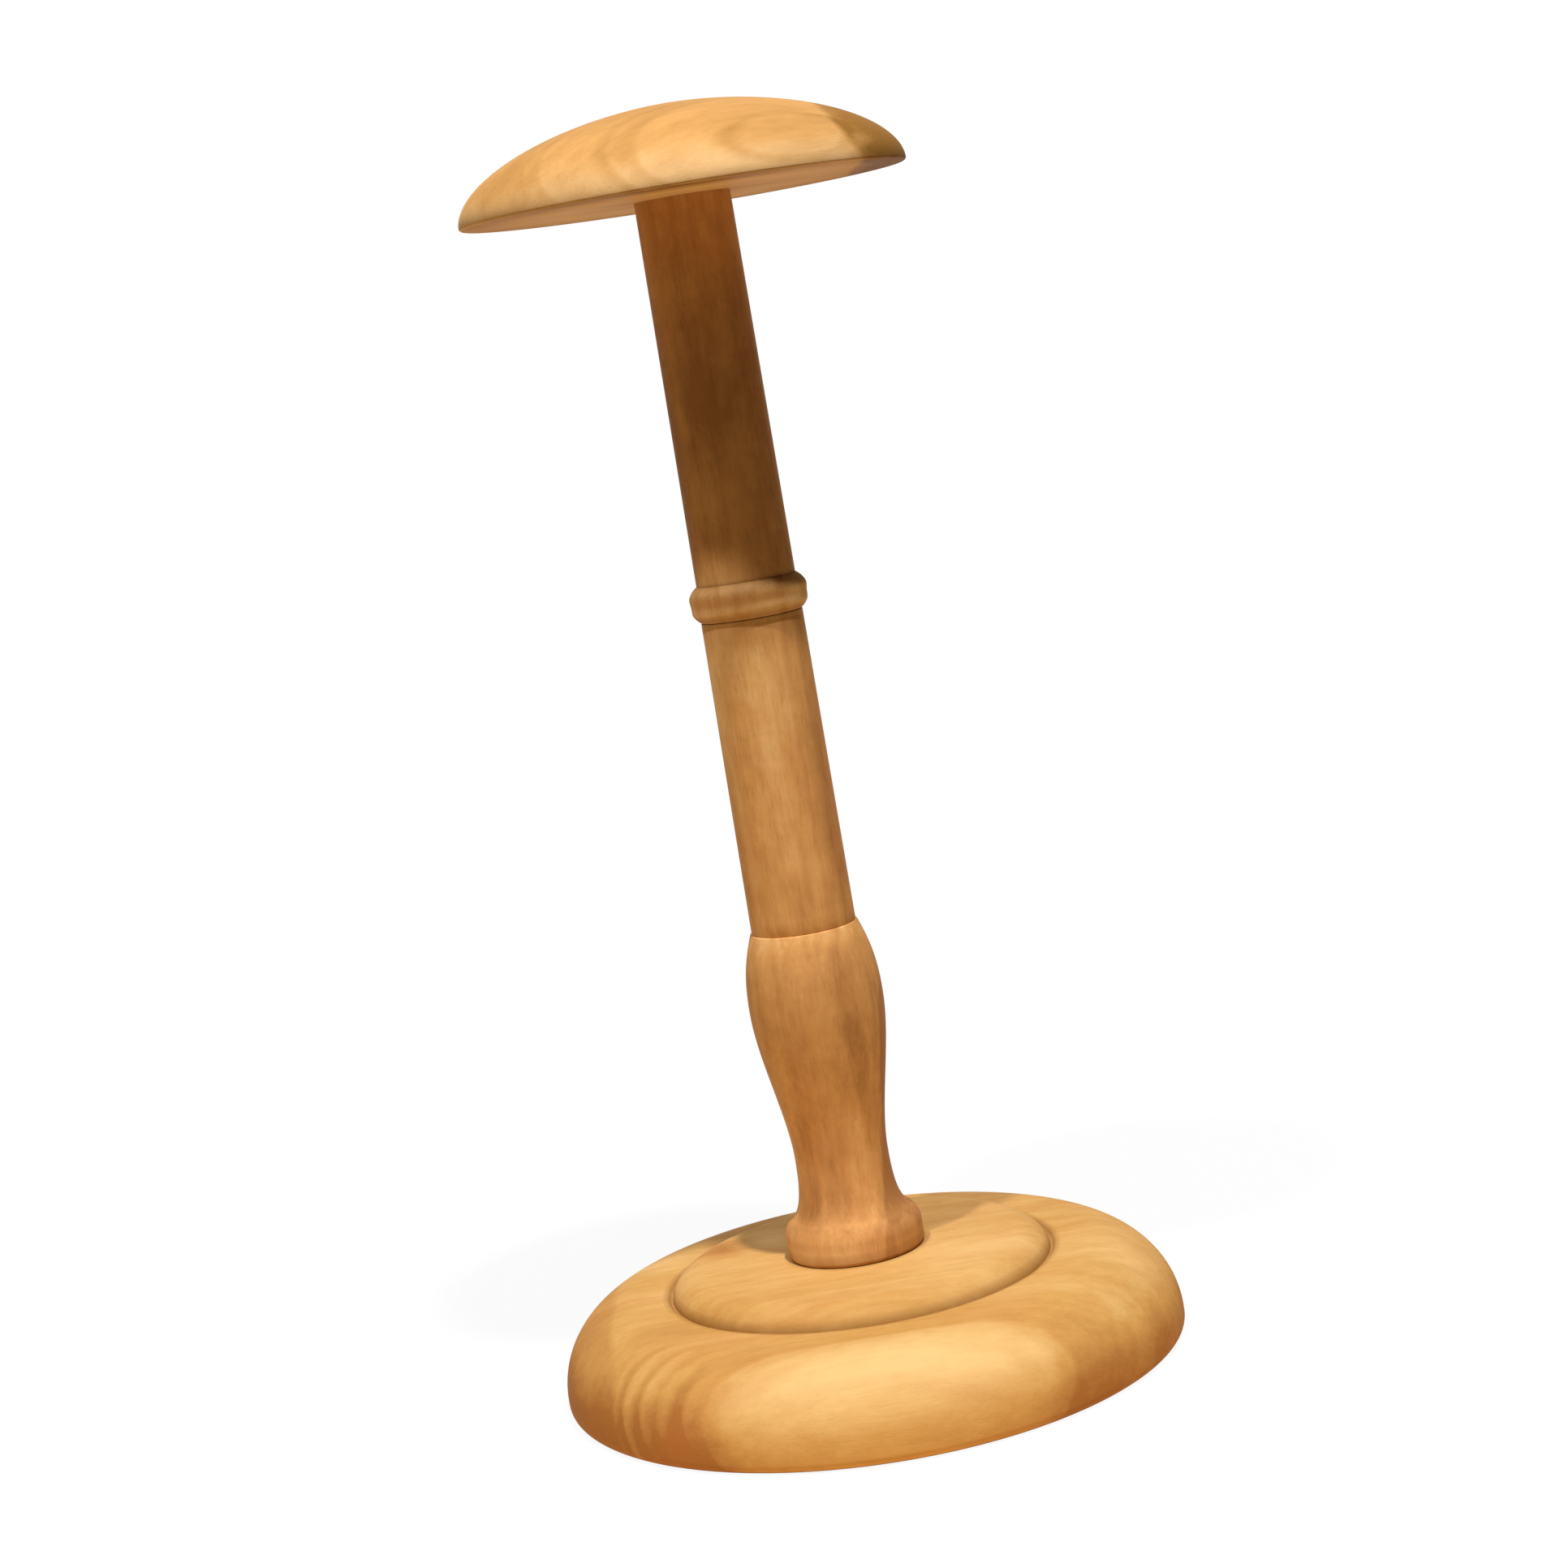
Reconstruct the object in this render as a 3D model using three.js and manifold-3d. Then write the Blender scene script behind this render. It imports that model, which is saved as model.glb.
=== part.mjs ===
// Turned wooden hat stand: a domed head on a slim turned post, which is spigoted into a round stepped
// base and drawn down from below by a wood screw and washer.
// Millimetres, +Z up, origin on the floor at the centre of the base.

import * as THREE from 'three';
import Module from 'manifold-3d';
import { mergeVertices } from 'three/addons/utils/BufferGeometryUtils.js';

const wasm = await Module();
wasm.setup();

// Base: a thick disc with a raised step in its middle
const baseRadius = 88;
const baseThickness = 27;
const baseEdgeRound = 23; // bold round from the flat top down to the side
const baseFloorRound = 4; // small round from the side to the underside
const stepRadius = 54;
const stepHeight = 5.5;
const stepRound = 4;
const quirkWidth = 1.4; // fine groove round the foot of the step
const quirkDepth = 0.9;

// Foot of the post: a short collar that flares out from the neck
const footRadius = 19.4;
const footHeight = 11;
const footHeelRound = 1.8;
const footLipRound = 2.2;
const footLipSweep = 55; // degrees of arc at the lip before the flare begins
const flareHeight = 17;
const flareLead = 3.6; // how far the flare keeps the slope of the lip
const flareEase = 8.5; // how far below the neck the flare starts to open

// Vase shape above the neck
const neckRadius = 13.2;
const taperHeight = 44;
const neckEase = 13;
const bellyEase = 14;
const bellyRadius = 18.95;
const shoulderHeight = 21.8;
const shoulderEase = 9;
const shoulderLead = 7.5;
const shoulderSlope = 19.5; // degrees from upright where the shoulder reaches the ledge
const ledgeRadius = 15.1;
const ledgeCut = 0.4; // fine cut above the ledge

// Straight shafts and the bead between them, each shaft a little thinner towards its top
const lowerShaftLength = 88;
const lowerShaftFootRadius = 14.7;
const lowerShaftTopRadius = 14.15;
const beadHeight = 10.4;
const beadRadius = 16.7;
const beadRootRadius = 13.6;
const upperShaftLength = 105.3;
const upperShaftFootRadius = 13.8;
const upperShaftTopRadius = 13.2;

// Head: a dome with a flat underside
const headRadius = 61.3;
const headHeight = 25;
const headFullness = 1.84; // 2 is an ellipse, less is nearer to a cone
const headArris = 0.8;

// Spigots turned on the ends of the post, and the blind holes that take them
const topSpigotRadius = 8;
const topSpigotLength = 15;
const footSpigotRadius = 9.5;
const footSpigotLength = 20;
const spigotChamfer = 0.8;
const spigotClearance = 0.3;
const holeSlack = 1; // room for glue past the end of a spigot

// Screw and washer in a counterbore under the base
const screwHeadRadius = 4.8;
const screwHeadHeight = 3.2;
const screwHeadRound = 1.1;
const screwShankRadius = 2.4;
const screwShankLength = 9.5;
const threadRadius = 2.5;
const threadCoreRadius = 1.75;
const threadLength = 22;
const threadPitch = 2.2;
const screwTipLength = 3;
const slotWidth = 1.2;
const slotDepth = 1.5;
const washerRadius = 7.5;
const washerThickness = 1.2;
const screwClearance = 0.3;
const counterboreClearance = 0.6;
const headRecess = 1.6; // how far the screw head stays inside the underside

// Facets
const headFacets = 60;
const postFacets = 40;
const baseFacets = 64;
const holeFacets = 32;
const screwFacets = 12;
const rowsPerPitch = 5;

// Heights, stacked from the floor
const stepTop = baseThickness + stepHeight;
const lipTop = stepTop + footHeight;
const neckLevel = lipTop + flareHeight;
const bellyLevel = neckLevel + taperHeight;
const ledgeLevel = bellyLevel + shoulderHeight;
const beadFoot = ledgeLevel + lowerShaftLength;
const beadTop = beadFoot + beadHeight;
const headSeat = beadTop + upperShaftLength;
const footSpigotEnd = stepTop - footSpigotLength;
const topSpigotEnd = headSeat + topSpigotLength;
const screwHeadSeat = headRecess + screwHeadHeight;
const counterboreTop = screwHeadSeat + washerThickness;
const threadStart = screwHeadSeat + screwShankLength;
const threadEnd = threadStart + threadLength;
const screwEnd = threadEnd + screwTipLength;

const point = (radius, height) => new THREE.Vector2(radius, height);
const raised = (from, by) => point(from.x, from.y + by);

// The point that lies a length away from another, along a line so many degrees from upright
function leaning(from, length, degrees) {
  const angle = THREE.MathUtils.degToRad(degrees);
  return point(from.x + length * Math.sin(angle), from.y + length * Math.cos(angle));
}

// Points along an arc in the radius and height plane, angles in degrees from level outwards
function arc(centreRadius, centreHeight, radius, from, to, steps) {
  const start = THREE.MathUtils.degToRad(from);
  const end = THREE.MathUtils.degToRad(to);
  return new THREE.EllipseCurve(centreRadius, centreHeight, radius, radius, start, end).getPoints(steps);
}

// Points along a smooth bend that leaves start towards lead and reaches end from ease
function bend(start, lead, ease, end, steps) {
  return new THREE.CubicBezierCurve(start, lead, ease, end).getPoints(steps);
}

// One list of outline points without repeats
function outline(...parts) {
  const kept = [];
  for (const next of parts.flat()) {
    const last = kept[kept.length - 1];
    if (!last || last.distanceTo(next) > 1e-4) kept.push(next);
  }
  return kept;
}

// Turns an outline round the upright axis, as a lathe does
const upright = new THREE.Matrix4().set(1, 0, 0, 0, 0, 0, -1, 0, 0, 1, 0, 0, 0, 0, 0, 1);

function turned(points, facets) {
  return new THREE.LatheGeometry(points, facets).applyMatrix4(upright);
}

function toSolid(geometry) {
  const plain = geometry.clone();
  plain.deleteAttribute('normal');
  plain.deleteAttribute('uv');
  const merged = mergeVertices(plain);
  return new wasm.Manifold(new wasm.Mesh({
    numProp: 3,
    vertProperties: new Float32Array(merged.attributes.position.array),
    triVerts: new Uint32Array(merged.index.array),
  }));
}

function fromSolid(solid) {
  const mesh = solid.getMesh();
  const geometry = new THREE.BufferGeometry();
  geometry.setAttribute('position', new THREE.BufferAttribute(mesh.vertProperties, 3));
  geometry.setIndex(new THREE.BufferAttribute(mesh.triVerts, 1));
  return geometry;
}

// Head: blind hole, flat underside, softened rim and dome
function headGeometry() {
  const holeRadius = topSpigotRadius + spigotClearance;
  const holeTop = topSpigotEnd + holeSlack;
  const rimLevel = headSeat + headArris;
  const domeHeight = headHeight - headArris;
  const domeSteps = 15;
  const dome = [];
  for (let i = 0; i <= domeSteps; i += 1) {
    const turn = (Math.PI / 2) * (i / domeSteps);
    const radius = i === domeSteps ? 0 : headRadius * Math.cos(turn) ** (2 / headFullness);
    dome.push(point(radius, rimLevel + domeHeight * Math.sin(turn) ** (2 / headFullness)));
  }
  return turned(outline(
    point(0, holeTop),
    point(holeRadius, holeTop),
    point(holeRadius, headSeat),
    arc(headRadius - headArris, rimLevel, headArris, -90, 0, 2),
    dome,
  ), headFacets);
}

// Post: one spindle from the spigot in the base to the spigot in the head
function postGeometry() {
  const boreRadius = threadRadius + screwClearance;
  const boreTop = screwEnd + holeSlack;
  const lipCentre = lipTop - footLipRound * Math.sin(THREE.MathUtils.degToRad(footLipSweep));
  const lip = arc(footRadius - footLipRound, lipCentre, footLipRound, 0, footLipSweep, 3);
  const lipEnd = lip[lip.length - 1];
  const neck = point(neckRadius, neckLevel);
  const belly = point(bellyRadius, bellyLevel);
  const ledge = point(ledgeRadius, ledgeLevel);
  const beadHalf = beadHeight / 2;
  const beadBulge = beadRadius - beadRootRadius;
  const beadCurve = (beadHalf ** 2 + beadBulge ** 2) / (2 * beadBulge);
  const beadSweep = THREE.MathUtils.radToDeg(Math.asin(beadHalf / beadCurve));
  return turned(outline(
    point(0, boreTop),
    point(boreRadius, boreTop),
    point(boreRadius, footSpigotEnd),
    point(footSpigotRadius - spigotChamfer, footSpigotEnd),
    point(footSpigotRadius, footSpigotEnd + spigotChamfer),
    point(footSpigotRadius, stepTop),
    arc(footRadius - footHeelRound, stepTop + footHeelRound, footHeelRound, -90, 0, 3),
    lip,
    bend(lipEnd, leaning(lipEnd, flareLead, -footLipSweep), raised(neck, -flareEase), neck, 6),
    bend(neck, raised(neck, neckEase), raised(belly, -bellyEase), belly, 8),
    bend(belly, raised(belly, shoulderEase), leaning(ledge, -shoulderLead, -shoulderSlope), ledge, 6),
    point(lowerShaftFootRadius - ledgeCut, ledgeLevel),
    point(lowerShaftFootRadius, ledgeLevel + 2 * ledgeCut),
    point(lowerShaftTopRadius, beadFoot),
    arc(beadRadius - beadCurve, beadFoot + beadHalf, beadCurve, -beadSweep, beadSweep, 8),
    point(upperShaftFootRadius, beadTop),
    point(upperShaftTopRadius, headSeat),
    point(topSpigotRadius, headSeat),
    point(topSpigotRadius, topSpigotEnd - spigotChamfer),
    point(topSpigotRadius - spigotChamfer, topSpigotEnd),
    point(0, topSpigotEnd),
  ), postFacets);
}

// Base: disc and step turned from one blank, with the blind hole for the post, the screw hole and
// the counterbore in line
function baseGeometry() {
  const edgeRound = Math.min(baseEdgeRound, baseThickness - baseFloorRound);
  const holeRadius = footSpigotRadius + spigotClearance;
  const holeFloor = footSpigotEnd - holeSlack;
  const screwHoleRadius = screwShankRadius + screwClearance;
  const counterboreRadius = washerRadius + counterboreClearance;
  const points = outline(
    point(counterboreRadius, 0),
    arc(baseRadius - baseFloorRound, baseFloorRound, baseFloorRound, -90, 0, 4),
    arc(baseRadius - edgeRound, baseThickness - edgeRound, edgeRound, 0, 90, 9),
    point(stepRadius + quirkWidth, baseThickness),
    point(stepRadius, baseThickness - quirkDepth),
    arc(stepRadius - stepRound, stepTop - stepRound, stepRound, 0, 90, 5),
    point(holeRadius, stepTop),
    point(holeRadius, holeFloor),
    point(screwHoleRadius, holeFloor),
    point(screwHoleRadius, counterboreTop),
    point(counterboreRadius, counterboreTop),
    point(counterboreRadius, 0),
  );
  return turned(points, baseFacets);
}

function washerGeometry() {
  const hole = screwShankRadius + screwClearance;
  return turned([
    point(hole, screwHeadSeat),
    point(washerRadius, screwHeadSeat),
    point(washerRadius, counterboreTop),
    point(hole, counterboreTop),
    point(hole, screwHeadSeat),
  ], holeFacets);
}

// Screw: rounded head with a slot, plain shank, helical thread and pointed tip
function screwGeometry() {
  const rows = [];
  const addRow = (height, radius, ridge = 0) => rows.push({ height, radius, ridge });
  const rimRadius = screwHeadRadius - screwHeadRound;
  const rim = arc(rimRadius, headRecess + screwHeadRound, screwHeadRound, -90, 0, 3);
  rim.forEach((corner) => addRow(corner.y, corner.x));
  addRow(screwHeadSeat, screwHeadRadius);
  addRow(screwHeadSeat, screwShankRadius);
  addRow(threadStart, screwShankRadius);
  const threadRows = Math.round((threadLength / threadPitch) * rowsPerPitch);
  for (let i = 1; i <= threadRows; i += 1) {
    const along = i / threadRows;
    const ridge = (threadRadius - threadCoreRadius) * Math.min(1, 6 * (1 - along));
    addRow(threadStart + threadLength * along, threadCoreRadius, ridge);
  }
  const positions = [0, 0, headRecess];
  for (const row of rows) {
    for (let j = 0; j < screwFacets; j += 1) {
      const angle = (2 * Math.PI * j) / screwFacets;
      const turns = (row.height - threadStart) / threadPitch - j / screwFacets;
      const tooth = 1 - Math.abs(2 * (turns - Math.floor(turns)) - 1);
      const radius = row.radius + row.ridge * tooth;
      positions.push(radius * Math.cos(angle), radius * Math.sin(angle), row.height);
    }
  }
  positions.push(0, 0, screwEnd);
  const at = (i, j) => 1 + i * screwFacets + (j % screwFacets);
  const tip = positions.length / 3 - 1;
  const index = [];
  for (let j = 0; j < screwFacets; j += 1) {
    index.push(0, at(0, j + 1), at(0, j));
    index.push(tip, at(rows.length - 1, j), at(rows.length - 1, j + 1));
    for (let i = 0; i < rows.length - 1; i += 1) {
      index.push(at(i, j), at(i, j + 1), at(i + 1, j + 1));
      index.push(at(i, j), at(i + 1, j + 1), at(i + 1, j));
    }
  }
  const body = new THREE.BufferGeometry();
  body.setAttribute('position', new THREE.Float32BufferAttribute(positions, 3));
  body.setIndex(index);
  const slot = new THREE.BoxGeometry(2 * screwHeadRadius + 1, slotWidth, 2 * slotDepth);
  slot.translate(0, 0, headRecess);
  return fromSolid(toSolid(body).subtract(toSolid(slot)));
}

// Materials
const headWood = new THREE.MeshStandardMaterial({ color: 0xdfa868, roughness: 0.5, metalness: 0 });
const postWood = new THREE.MeshStandardMaterial({ color: 0xb9793f, roughness: 0.5, metalness: 0 });
const baseWood = new THREE.MeshStandardMaterial({ color: 0xd79c5c, roughness: 0.5, metalness: 0 });
const zincSteel = new THREE.MeshStandardMaterial({ color: 0xb4b2a8, roughness: 0.35, metalness: 1 });

function piece(name, geometry, material) {
  const mesh = new THREE.Mesh(geometry, material);
  mesh.name = name;
  return mesh;
}

const group = new THREE.Group();
group.add(
  piece('head', headGeometry(), headWood),
  piece('post', postGeometry(), postWood),
  piece('base', baseGeometry(), baseWood),
  piece('base_screw', screwGeometry(), zincSteel),
  piece('screw_washer', washerGeometry(), zincSteel),
);

export default group;
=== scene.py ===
"""Dresses the turned wooden hat stand: smooth turned wood, steel fixing, pale floor and studio light."""

import math
from dataclasses import dataclass

import bpy
from bpy.props import FloatProperty, FloatVectorProperty, IntProperty, PointerProperty
from mathutils import Matrix, Vector


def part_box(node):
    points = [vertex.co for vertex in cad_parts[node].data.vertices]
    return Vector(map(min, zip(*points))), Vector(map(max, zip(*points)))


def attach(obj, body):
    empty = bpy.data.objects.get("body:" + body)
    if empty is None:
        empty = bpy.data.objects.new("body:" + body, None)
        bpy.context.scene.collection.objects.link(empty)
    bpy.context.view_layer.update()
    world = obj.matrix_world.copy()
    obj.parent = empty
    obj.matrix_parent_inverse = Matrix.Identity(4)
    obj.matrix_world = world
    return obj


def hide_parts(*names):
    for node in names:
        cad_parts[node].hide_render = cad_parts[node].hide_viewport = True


bl_info = {
    "name": "Turned Hat Stand",
    "version": (1, 0, 0),
    "blender": (4, 5, 0),
    "location": "3D View > Sidebar > Hat Stand",
    "description": "Turns the pieces of a wooden hat stand, with its screw and washer, and sets its stage",
    "category": "Add Mesh",
}

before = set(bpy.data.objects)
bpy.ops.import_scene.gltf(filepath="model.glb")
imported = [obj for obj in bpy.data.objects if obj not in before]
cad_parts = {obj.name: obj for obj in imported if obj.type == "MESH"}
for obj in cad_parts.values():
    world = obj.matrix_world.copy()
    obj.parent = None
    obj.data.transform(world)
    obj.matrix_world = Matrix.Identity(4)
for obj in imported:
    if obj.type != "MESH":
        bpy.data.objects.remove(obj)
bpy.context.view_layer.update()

MM = 0.001
TO_MM = 1000.0
WHITE = (1.0, 1.0, 1.0, 1.0)
HEAD_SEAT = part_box("head")[0].z
HEAD_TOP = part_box("head")[1].z
STEP_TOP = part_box("base")[1].z


# Sizes and colours that a user would change

def length(name, millimetres, description):
    """A size, shown in the scene's length unit."""
    return FloatProperty(
        name=name, description=description, default=millimetres * MM, min=0.0, unit='LENGTH', precision=5)


def angle(name, degrees, description):
    return FloatProperty(
        name=name, description=description, default=math.radians(degrees), subtype='ANGLE', unit='ROTATION')


def colour(name, value, description):
    return FloatVectorProperty(
        name=name, description=description, default=(*value, 1.0), size=4, min=0.0, max=1.0, subtype='COLOR')


def facets(piece, count):
    return IntProperty(name="Steps Round", description=f"Facets round the {piece}", default=count, min=12)


def brightness(name, value, description):
    return FloatProperty(name=name, description=description, default=value, min=0.0)


class HeadSizes(bpy.types.PropertyGroup):
    radius: length("Radius", 61.3, "Radius of the dome at its rim")
    fullness: FloatProperty(
        name="Fullness", description="Shape of the dome: 2 is an ellipse, less is nearer to a cone",
        default=1.84, min=1.0, max=4.0)
    arris: length("Arris", 0.8, "Round at the rim, between the dome and the flat underside")
    lean_right: angle("Lean Right", 0.75, "How far the head sits out of square, down on its right")
    lean_ahead: angle("Lean Ahead", 1.05, "How far the head sits out of square, down at its front")
    seating: length("Seating", 0.15, "How far the leaning head is drawn down on the post")
    steps_round: facets("head", 208)


class PostSizes(bpy.types.PropertyGroup):
    foot_radius: length("Foot Radius", 19.4, "Radius of the foot where it stands on the step")
    foot_height: length("Foot Height", 11, "Height of the foot up to its lip")
    foot_heel: length("Foot Heel", 1.3, "Round at the bottom of the foot")
    foot_lip: length("Foot Lip", 6, "Round at the top of the foot")
    lip_sweep: angle("Lip Sweep", 55, "Sweep of the lip before the flare begins")
    flare_height: length("Flare Height", 17, "Height of the flare between the foot and the neck")
    flare_lead: length("Flare Lead", 3.6, "How far the flare keeps the slope of the lip")
    flare_ease: length("Flare Ease", 8.5, "How far below the neck the flare starts to open")
    neck_radius: length("Neck Radius", 13.2, "Radius of the neck")
    taper_height: length("Taper Height", 44, "Height from the neck to the widest turning")
    neck_ease: length("Neck Ease", 13, "How far above the neck the taper stays upright")
    belly_ease: length("Belly Ease", 14, "How far below the widest turning the taper stays upright")
    belly_radius: length("Belly Radius", 18.95, "Radius of the widest turning")
    shoulder_height: length("Shoulder Height", 21.8, "Height from the widest turning to the ledge")
    shoulder_ease: length("Shoulder Ease", 9, "How far above the widest turning the shoulder stays upright")
    shoulder_lead: length("Shoulder Lead", 7.5, "How far the shoulder keeps its slope below the ledge")
    shoulder_slope: angle("Shoulder Slope", 19.5, "Slope of the shoulder at the ledge")
    ledge_radius: length("Ledge Radius", 15.1, "Radius of the fine ledge")
    ledge_round: length("Ledge Round", 0.9, "Worn edge of the ledge")
    ledge_cut: length("Ledge Cut", 0.15, "Fine cut above the ledge")
    lower_length: length("Lower Shaft", 88, "Length of the shaft below the bead")
    lower_foot: length("Lower Shaft Foot", 14.7, "Radius of the lower shaft at its foot")
    lower_top: length("Lower Shaft Top", 14.15, "Radius of the lower shaft at the bead")
    bead_height: length("Bead Height", 10.4, "Height of the bead")
    bead_radius: length("Bead Radius", 16.7, "Radius of the bead")
    bead_root: length("Bead Root", 13.6, "Radius at the bead's edges")
    bead_hollow: length("Bead Hollow", 0.5, "Depth of the shallow hollow worn round the bead")
    upper_foot: length("Upper Shaft Foot", 13.8, "Radius of the upper shaft at the bead")
    upper_top: length("Upper Shaft Top", 13.2, "Radius of the upper shaft under the head")
    steps_round: facets("post", 144)


class BaseSizes(bpy.types.PropertyGroup):
    radius: length("Radius", 88, "Radius of the base")
    thickness: length("Thickness", 27, "Thickness of the disc without its step")
    edge_round: length("Edge Round", 23, "Bold round from the flat top down to the side")
    floor_round: length("Floor Round", 3, "Small round from the side to the underside")
    step_radius: length("Step Radius", 54, "Radius of the raised step")
    step_round: length("Step Round", 9, "How far in the wide round at the edge of the step begins")
    quirk_width: length("Quirk Width", 2, "Width of the fine groove round the foot of the step")
    quirk_depth: length("Quirk Depth", 1.1, "Depth of the fine groove")
    steps_round: facets("base", 224)


class FixingSizes(bpy.types.PropertyGroup):
    top_spigot_radius: length("Top Spigot Radius", 8, "Radius of the spigot in the head")
    top_spigot_length: length("Top Spigot Length", 15, "Length of the spigot in the head")
    foot_spigot_radius: length("Foot Spigot Radius", 9.5, "Radius of the spigot in the base")
    foot_spigot_length: length("Foot Spigot Length", 20, "Length of the spigot in the base")
    chamfer: length("Chamfer", 0.8, "Chamfer at the ends of the spigots")
    clearance: length("Clearance", 0.3, "Gap round each spigot, the screw and its thread")
    hole_slack: length("Hole Slack", 1, "Room past the end of a spigot or the screw")
    recess: length("Recess", 1.6, "How far the screw head stays inside the underside")
    head_radius: length("Screw Head Radius", 4.8, "Radius of the screw head")
    head_height: length("Screw Head Height", 3.2, "Height of the screw head")
    head_round: length("Screw Head Round", 1.1, "Round at the rim of the screw head")
    shank_radius: length("Shank Radius", 2.4, "Radius of the plain shank")
    shank_length: length("Shank Length", 9.5, "Length of the plain shank")
    thread_radius: length("Thread Radius", 2.5, "Radius over the thread")
    core_radius: length("Core Radius", 1.75, "Radius under the thread")
    thread_length: length("Thread Length", 22, "Length of the thread")
    pitch: length("Pitch", 2.2, "Rise of the thread in one turn")
    tip_length: length("Tip Length", 3, "Length of the point")
    slot_width: length("Slot Width", 1.2, "Width of the driver slot")
    slot_depth: length("Slot Depth", 1.5, "Depth of the driver slot")
    washer_radius: length("Washer Radius", 7.5, "Radius of the washer")
    washer_thickness: length("Washer Thickness", 1.2, "Thickness of the washer")
    washer_round: length("Washer Round", 0.2, "Rolled edge of the washer")
    counterbore_clearance: length("Counterbore Clearance", 0.6, "Gap round the washer")
    steps_round: facets("screw and washer", 64)


class FinishColours(bpy.types.PropertyGroup):
    head_light: colour("Head Light", (0.92, 0.58, 0.26), "Palest wood of the head")
    head_middle: colour("Head Middle", (0.62, 0.32, 0.10), "Usual wood of the head")
    head_dark: colour("Head Dark", (0.27, 0.12, 0.016), "Darkest wood of the head")
    post_light: colour("Post Light", (0.95, 0.60, 0.255), "Palest wood of the post")
    post_middle: colour("Post Middle", (0.70, 0.35, 0.115), "Usual wood of the post")
    post_dark: colour("Post Dark", (0.42, 0.185, 0.058), "Darkest wood of the post")
    base_light: colour("Base Light", (0.80, 0.51, 0.205), "Palest wood of the base")
    base_middle: colour("Base Middle", (0.60, 0.315, 0.088), "Usual wood of the base")
    base_dark: colour("Base Dark", (0.38, 0.15, 0.035), "Darkest wood of the base")
    # This colour also paints shade into each groove and where parts meet
    pore_and_groove_shade: colour("Pore", (0.27, 0.115, 0.025), "Open pores and the finish that gathers in grooves")
    steel: colour("Steel", (0.62, 0.61, 0.58), "Zinc-plated steel of the screw and washer")
    floor: colour("Floor", (0.96, 0.72, 0.41), "Pale floor where the stand is")
    floor_far: colour("Floor Far", (0.03, 0.025, 0.02), "Floor further off")


class StageSettings(bpy.types.PropertyGroup):
    main_level: brightness("Main", 0.95, "Level of the main lamp at the stand")
    side_level: brightness("Side", 0.46, "Level of the lamp high on the left")
    fill_level: brightness("Fill", 0.085, "Level of the soft lamp low on the left")
    room_level: brightness("Room", 0.006, "Level of the light from the room")
    shadow: FloatProperty(
        name="Shadow", description="Depth of the stand's shadow on the floor", default=0.07, min=0.0, max=1.0,
        subtype='FACTOR')


class HatStand(bpy.types.PropertyGroup):
    head: PointerProperty(type=HeadSizes)
    post: PointerProperty(type=PostSizes)
    base: PointerProperty(type=BaseSizes)
    fixing: PointerProperty(type=FixingSizes)
    colours: PointerProperty(type=FinishColours)
    stage: PointerProperty(type=StageSettings)


# Outlines, as (radius, height) points from the bottom round the outside to the top

SAME_POINT = 1e-7
DOME_ROWS = 84
THREAD_ROWS = 16  # in one turn of the thread


def arc(radius_at, height_at, radius, start, end, steps):
    """Points along an arc, with its angles in degrees from level outwards."""
    turns = [math.radians(start + (end - start) * i / steps) for i in range(steps + 1)]
    return [(radius_at + radius * math.cos(t), height_at + radius * math.sin(t)) for t in turns]


def low_corner(radius, height, size, steps):
    """A round at the outer corner between an underside and the side above it."""
    return arc(radius - size, height + size, size, -90, 0, steps)


def high_corner(radius, height, size, steps):
    """A round at the outer corner between a side and the face on top of it."""
    return arc(radius - size, height - size, size, 0, 90, steps)


def bend(start, lead, ease, end, steps):
    """Points along a smooth bend that leaves start towards lead and reaches end from ease."""
    line = []
    for i in range(steps + 1):
        t = i / steps
        u = 1 - t
        weights = (u ** 3, 3 * u * u * t, 3 * u * t * t, t ** 3)
        line.append(tuple(sum(w * p[k] for w, p in zip(weights, (start, lead, ease, end))) for k in (0, 1)))
    return line


def shaft(foot, top, spacing=4 * MM):
    """Points along a straight shaft, close enough to shade evenly."""
    steps = max(1, round(math.dist(foot, top) / spacing))
    return [tuple(a + (b - a) * i / steps for a, b in zip(foot, top)) for i in range(steps + 1)]


def leaning(start, reach, turn):
    """The point that lies a length away, along a line so far from upright."""
    return start[0] + reach * math.sin(turn), start[1] + reach * math.cos(turn)


def outline(*parts):
    """One list of points without repeats."""
    line = []
    for part in parts:
        for point in part if isinstance(part, list) else [part]:
            if not line or math.dist(line[-1], point) > SAME_POINT:
                line.append(point)
    return line


def head_outline(stand):
    head, fixing = stand.head, stand.fixing
    hole = fixing.top_spigot_radius + fixing.clearance
    hole_top = HEAD_SEAT + fixing.top_spigot_length + fixing.hole_slack
    rim = HEAD_SEAT + head.arris
    dome_height = HEAD_TOP - rim
    dome = []
    for i in range(DOME_ROWS):
        turn = math.pi / 2 * i / DOME_ROWS
        dome.append((head.radius * math.cos(turn) ** (2 / head.fullness),
                     rim + dome_height * math.sin(turn) ** (2 / head.fullness)))
    return outline(
        (0.0, hole_top), (hole, hole_top),
        shaft((hole, HEAD_SEAT), (head.radius - head.arris, HEAD_SEAT), spacing=3 * MM),
        low_corner(head.radius, HEAD_SEAT, head.arris, steps=10), dome, (0.0, HEAD_TOP))


def head_lean(stand):
    """How the head sits on the post: a little out of square, and drawn down on it."""
    head, seat = stand.head, Vector((0.0, 0.0, HEAD_SEAT))
    drawn = seat - Vector((0.0, 0.0, head.seating))
    turn = Matrix.Rotation(head.lean_right, 4, 'Y') @ Matrix.Rotation(head.lean_ahead, 4, 'X')
    return Matrix.Translation(drawn) @ turn @ Matrix.Translation(-seat)


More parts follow.
